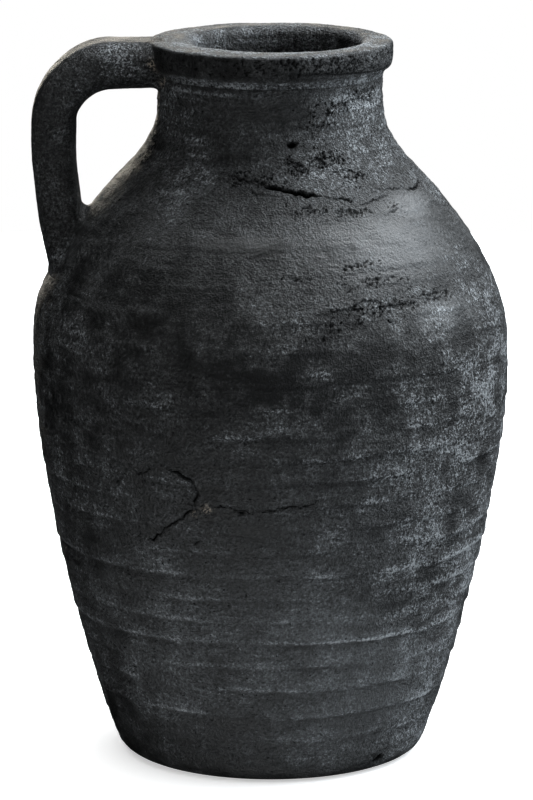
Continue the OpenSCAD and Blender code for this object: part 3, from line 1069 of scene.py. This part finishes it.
# Their colours, and how wide each patch is in degrees from its middle
SKIES = [
    ((0.97, 0.995, 1.01, 1), COLD_SKY, 38),
    ((0.90, 0.985, 1.06, 1), BLUE_SKY, 38),
    ((1.00, 0.93, 0.80, 1), WARM_SKY, 15),
]


def sky_patches(n, way, patches, half_angle):
    """The strength of a sky with soft patches of light, in the direction way."""
    whole = 0.0
    edge = math.cos(math.radians(half_angle))
    for angle, height, strength in patches:
        a, h = math.radians(angle), math.radians(height)
        dot = n.tree.nodes.new("ShaderNodeVectorMath")
        dot.operation = "DOT_PRODUCT"
        n.give(dot.inputs[0], way)
        n.give(dot.inputs[1], (math.sin(a) * math.cos(h), -math.cos(a) * math.cos(h), math.sin(h)))
        whole = n.math("ADD", whole, n.ramp(dot.outputs["Value"], edge, 1.0, 0.0, strength))
    return whole


def make_world():
    """A white studio to look at, which lights the jar with soft patches, the strongest behind it
    on the right."""
    world = bpy.data.worlds.new("studio")
    bpy.context.scene.world = world
    world.use_nodes = True
    n = Nodes(world.node_tree)
    way = n.add("ShaderNodeTexCoord").outputs["Generated"]
    whole = None
    for colour, patches, half_angle in SKIES:
        strength = sky_patches(n, way, patches, half_angle)
        sky = n.add("ShaderNodeBackground", color=colour, strength=strength).outputs["Background"]
        if whole is None:
            whole = sky
        else:
            whole = n.join("ShaderNodeAddShader", whole, sky).outputs["Shader"]
    seen = n.add("ShaderNodeBackground", color=(1, 1, 1, 1), strength=1.0)
    path = n.tree.nodes.new("ShaderNodeLightPath")
    mix = n.join("ShaderNodeMixShader", whole, seen.outputs["Background"])
    n.give(mix.inputs[0], path.outputs["Is Camera Ray"])
    n.add("ShaderNodeOutputWorld", surface=mix.outputs["Shader"])


def area_light(name, place, target, size, watts, colour=(1, 1, 1)):
    """A square lamp that faces a target and can't be seen."""
    data = bpy.data.lights.new(name, "AREA")
    data.shape = "SQUARE"
    data.size = size
    data.energy = watts
    data.color = colour
    lamp = bpy.data.objects.new(name, data)
    lamp.location = place
    lamp.rotation_mode = "QUATERNION"
    lamp.rotation_quaternion = (Vector(target) - Vector(place)).to_track_quat("-Z", "Y")
    lamp.visible_camera = False
    bpy.context.scene.collection.objects.link(lamp)
    return lamp


# The camera: its lens, and in heights of the jar how far in front and how high it stands and where
# it looks
LENS = 234.8
CAMERA_AT = Vector((0, -7.1, 2.035))
AIM_AT = Vector((-0.00575, 0, 0.4925))


def make_camera():
    """The photograph's camera."""
    height = HEIGHT * MM
    data = bpy.data.cameras.new("camera")
    data.lens = LENS
    data.clip_end = 60
    camera = bpy.data.objects.new("camera", data)
    camera.location = CAMERA_AT * height
    aim = AIM_AT * height
    camera.rotation_mode = "QUATERNION"
    camera.rotation_quaternion = (aim - camera.location).to_track_quat("-Z", "Y")
    bpy.context.scene.collection.objects.link(camera)
    bpy.context.scene.camera = camera


# ------------------------------------------------------------------ the jar

wall_clay = clay("wall_clay")
rim_clay = clay("rim_clay", pale=0.46)
handle_clay = clay("handle_clay", pale=0.36, contrast=0.6)
luting_clay = clay("luting_clay", pale=0.34)

finish_piece(floor_piece(), "floor_disc", wall_clay)
for node, low, high in zip(WALL_NODES, JOINTS[:-1], JOINTS[1:]):
    finish_piece(band(node + "_clay", low, high), node, wall_clay)
finish_piece(rim_piece(), "rim_coil", rim_clay)
finish_piece(strap_piece(), "handle_strap", handle_clay)
for node, upper in [("upper_handle_wad", True), ("lower_handle_wad", False)]:
    finish_piece(wad_piece(node + "_clay", upper), node, luting_clay)

# A soft key light from the right, behind and above, and a wash of light for the floor alone
floor = make_floor()
make_world()
area_light("key", (1.18, 0.36, 1.86), (0, 0, 0.28), 0.9, 18, (0.95, 0.98, 1.0))
wash = area_light("floor_wash", (0, 0, 2.5), (0, 0, 0), 4.0, 80)
only_floor = bpy.data.collections.new("only_floor")
only_floor.objects.link(floor)
wash.light_linking.receiver_collection = only_floor
make_camera()
bpy.context.scene.view_settings.view_transform = "Standard"
